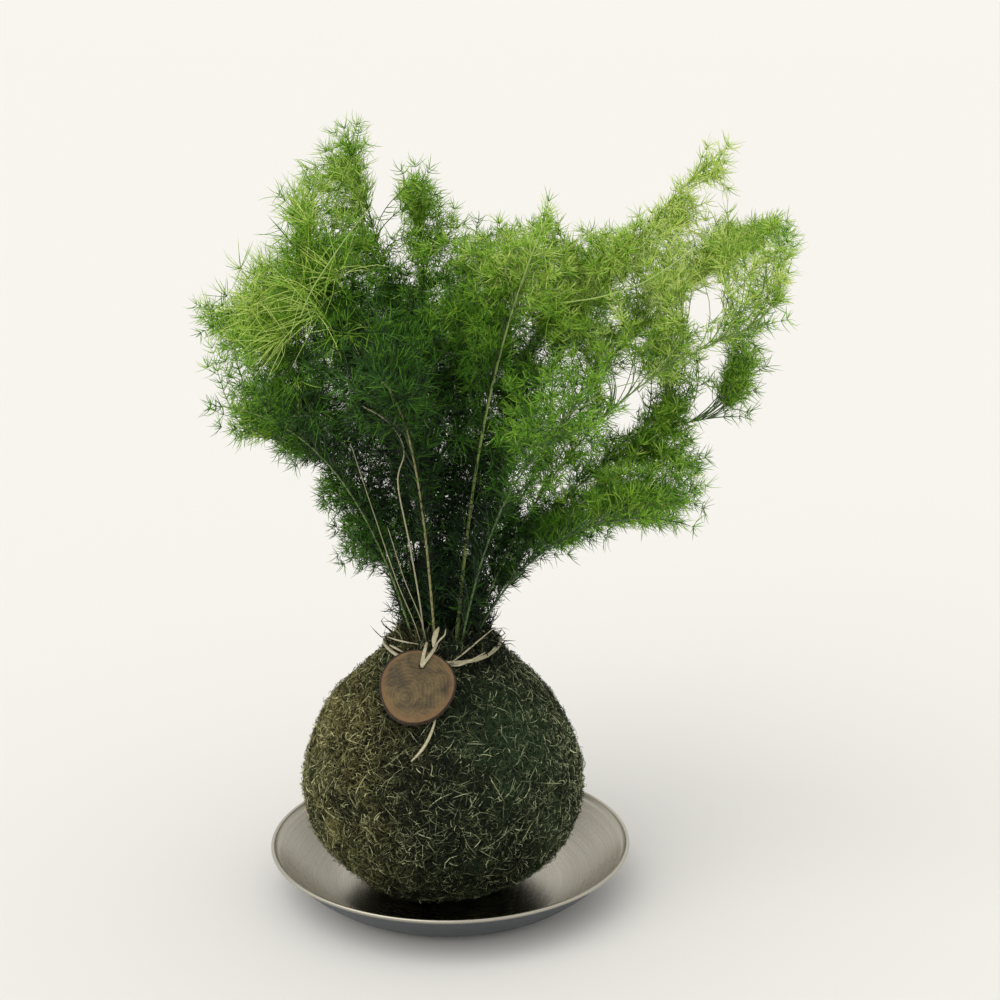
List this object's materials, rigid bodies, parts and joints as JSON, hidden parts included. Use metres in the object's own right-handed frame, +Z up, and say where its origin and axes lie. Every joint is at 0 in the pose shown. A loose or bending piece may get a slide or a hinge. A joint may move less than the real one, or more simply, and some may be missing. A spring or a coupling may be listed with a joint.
{
  "type": "kokedama plant",
  "caption": "Feathery asparagus fern growing from a moss-wrapped soil ball with a blank wood-slice tag, standing in a shallow round steel dish.",
  "frame": {"origin": "centre of the dish's flat foot, on the surface it stands on", "axes": "+Z up along the plant's height, -Y towards the side with the tag, +X to the right when the tag faces the viewer"},
  "size_m": [0.2834, 0.2544, 0.3781],
  "materials": {
    "brushed_steel": "brushed stainless steel with a brighter rolled rim",
    "moss": "matt felt of dry moss and grass fibres",
    "soil": "moist dark soil, hidden inside the moss",
    "wood": "sanded end grain with a thin bark edge",
    "raffia": "dry raffia and straw, slightly satin",
    "stem": "smooth living stem",
    "leaf": "soft matt living foliage"
  },
  "bodies": {
    "root": {"dish": "brushed_steel", "dry_stalk": "raffia", "moss_wrap": "moss", "raffia_band": "raffia", "raffia_hanger": "raffia", "raffia_low_end": "raffia", "raffia_side_end": "raffia", "root_crown": "wood", "soil_core": "soil", "spray_01": "leaf", "spray_02": "leaf", "spray_03": "leaf", "spray_04": "leaf", "spray_05": "leaf", "spray_06": "leaf", "spray_07": "leaf", "spray_08": "leaf", "spray_09": "leaf", "spray_10": "leaf", "spray_11": "leaf", "spray_12": "leaf", "spray_13": "leaf", "spray_14": "leaf", "spray_15": "leaf", "spray_16": "leaf", "spray_17": "leaf", "spray_18": "leaf", "spray_19": "leaf", "spray_20": "leaf", "stem_01": "stem", "stem_02": "stem", "stem_03": "stem", "stem_04": "stem", "stem_05": "stem", "stem_06": "stem", "stem_07": "stem", "stem_08": "stem", "stem_09": "stem", "stem_10": "stem", "stem_11": "stem", "stem_12": "stem", "stem_13": "stem", "stem_14": "stem", "stem_15": "stem", "stem_16": "stem", "stem_17": "stem", "stem_18": "stem", "stem_19": "stem", "stem_20": "stem", "wood_tag": "wood"}
  },
  "joints": []
}
